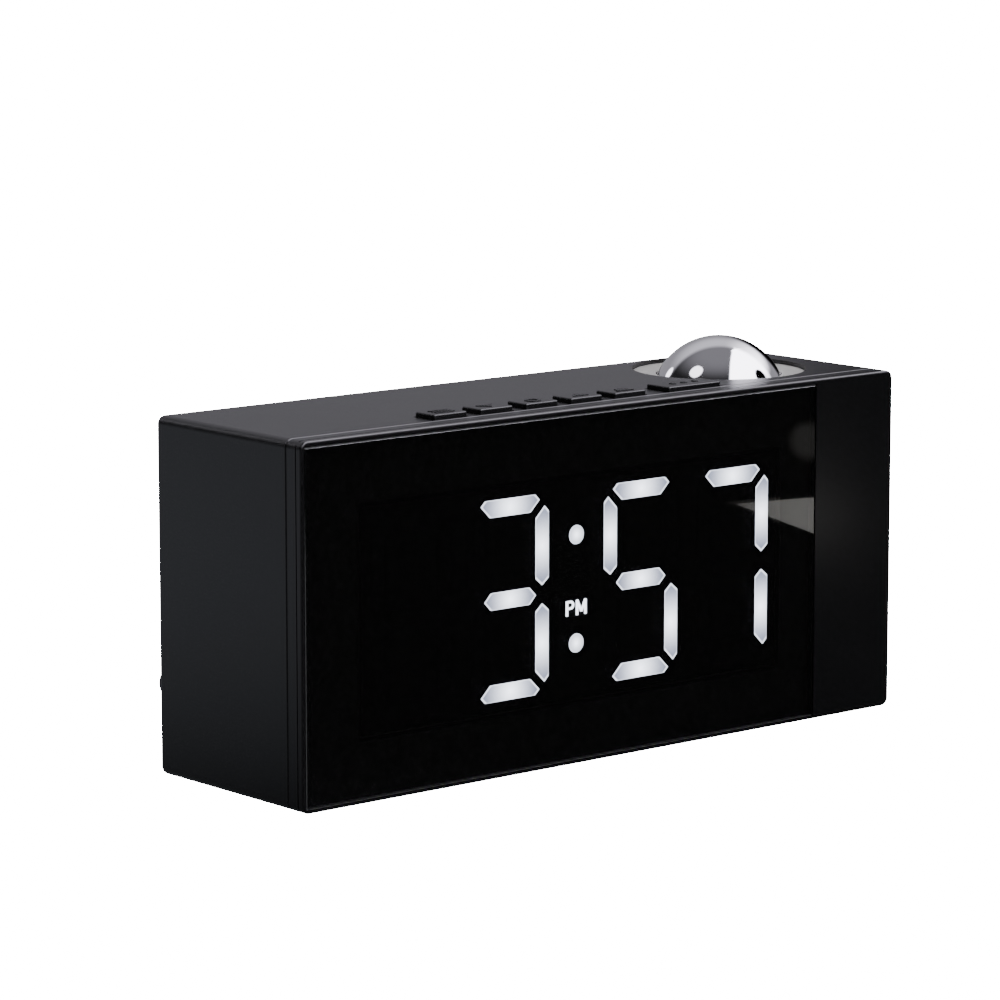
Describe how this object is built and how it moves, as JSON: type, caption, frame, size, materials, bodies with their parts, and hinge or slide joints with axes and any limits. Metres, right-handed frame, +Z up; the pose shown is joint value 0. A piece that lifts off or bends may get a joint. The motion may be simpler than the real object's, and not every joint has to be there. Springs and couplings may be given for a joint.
{
  "type": "projection alarm clock",
  "caption": "Rectangular desk alarm clock with a glowing seven-segment display behind a smoked lens, push buttons on top and a tilting chrome projector ball.",
  "frame": {"origin": "middle of the footprint, on the surface that the feet stand on", "axes": "+X to the right seen from the front, the display looks along -Y, +Z up"},
  "size_m": [0.186, 0.0586, 0.094],
  "materials": {
    "case_plastic": "fine satin moulded ABS",
    "button_plastic": "fine satin moulded ABS",
    "lens_acrylic": "polished smoked acrylic",
    "foam_tape": "matt foam tape",
    "display_plastic": "matt black",
    "lit_diffuser": "milky resin, lit from behind",
    "dark_diffuser": "smoked resin",
    "lamp_chip": "clear resin over phosphor",
    "circuit_board": "green solder mask",
    "component_plastic": "moulded",
    "steel": "zinc-plated",
    "cell_jacket": "plain wrap",
    "foot_rubber": "matt",
    "dish_plastic": "painted warm grey",
    "ball_chrome": "mirror plating",
    "clear_optic": "clear",
    "film": "printed film",
    "trim_black": "semi-gloss",
    "lamp_board": "white solder mask"
  },
  "bodies": {
    "case": {"rear_housing": "case_plastic", "front_bezel": "case_plastic", "display_lens": "lens_acrylic", "lens_tape": "foam_tape", "display_block": "display_plastic", "lit_segments": "lit_diffuser", "dark_segments": "dark_diffuser", "lamp_chips": "lamp_chip", "main_board": "circuit_board", "board_parts": "component_plastic", "board_screws": "steel", "case_screws": "steel", "foot_front_left": "foot_rubber", "foot_front_right": "foot_rubber", "foot_back_left": "foot_rubber", "foot_back_right": "foot_rubber", "key_board": "circuit_board", "key_switches": "component_plastic", "key_board_screws": "steel", "projector_dish": "dish_plastic", "upper_cell": "cell_jacket", "lower_cell": "cell_jacket", "battery_contacts": "steel", "sounder": "component_plastic", "power_socket": "component_plastic", "socket_pin": "steel"},
    "projector_ball": {"ball_lens_half": "ball_chrome", "ball_rear_half": "ball_chrome", "pivot_pins": "steel", "lens_barrel": "component_plastic", "projection_lens": "clear_optic", "time_film": "film", "lens_ring": "trim_black", "projector_lamp": "lamp_board"},
    "mode_button": {"mode_button": "button_plastic"},
    "down_button": {"down_button": "button_plastic"},
    "set_button": {"set_button": "button_plastic"},
    "up_button": {"up_button": "button_plastic"},
    "alarm_button": {"alarm_button": "button_plastic"},
    "snooze_button": {"snooze_button": "button_plastic"},
    "battery_door": {"battery_door": "case_plastic"}
  },
  "joints": [
    {"name": "projector_tilt", "type": "hinge", "parent": "case", "child": "projector_ball", "pos_m": [0.0628, 0.0017, 0.0769], "axis": [1, 0, 0], "range_deg": [-30, 150]},
    {"name": "mode_press", "type": "slide", "parent": "case", "child": "mode_button", "axis": [0, 0, -1], "range_m": [0, 0.0006], "stiffness_N_per_m": 1500, "springref_m": -0.0002},
    {"name": "down_press", "type": "slide", "parent": "case", "child": "down_button", "axis": [0, 0, -1], "range_m": [0, 0.0006], "stiffness_N_per_m": 1500, "springref_m": -0.0002},
    {"name": "set_press", "type": "slide", "parent": "case", "child": "set_button", "axis": [0, 0, -1], "range_m": [0, 0.0006], "stiffness_N_per_m": 1500, "springref_m": -0.0002},
    {"name": "up_press", "type": "slide", "parent": "case", "child": "up_button", "axis": [0, 0, -1], "range_m": [0, 0.0006], "stiffness_N_per_m": 1500, "springref_m": -0.0002},
    {"name": "alarm_press", "type": "slide", "parent": "case", "child": "alarm_button", "axis": [0, 0, -1], "range_m": [0, 0.0006], "stiffness_N_per_m": 1500, "springref_m": -0.0002},
    {"name": "snooze_press", "type": "slide", "parent": "case", "child": "snooze_button", "axis": [0, 0, -1], "range_m": [0, 0.0006], "stiffness_N_per_m": 1500, "springref_m": -0.0002},
    {"name": "battery_door_hinge", "type": "hinge", "parent": "case", "child": "battery_door", "pos_m": [-0.028, 0.0248, 0.0167], "axis": [-1, 0, 0], "range_deg": [0, 95]}
  ]
}
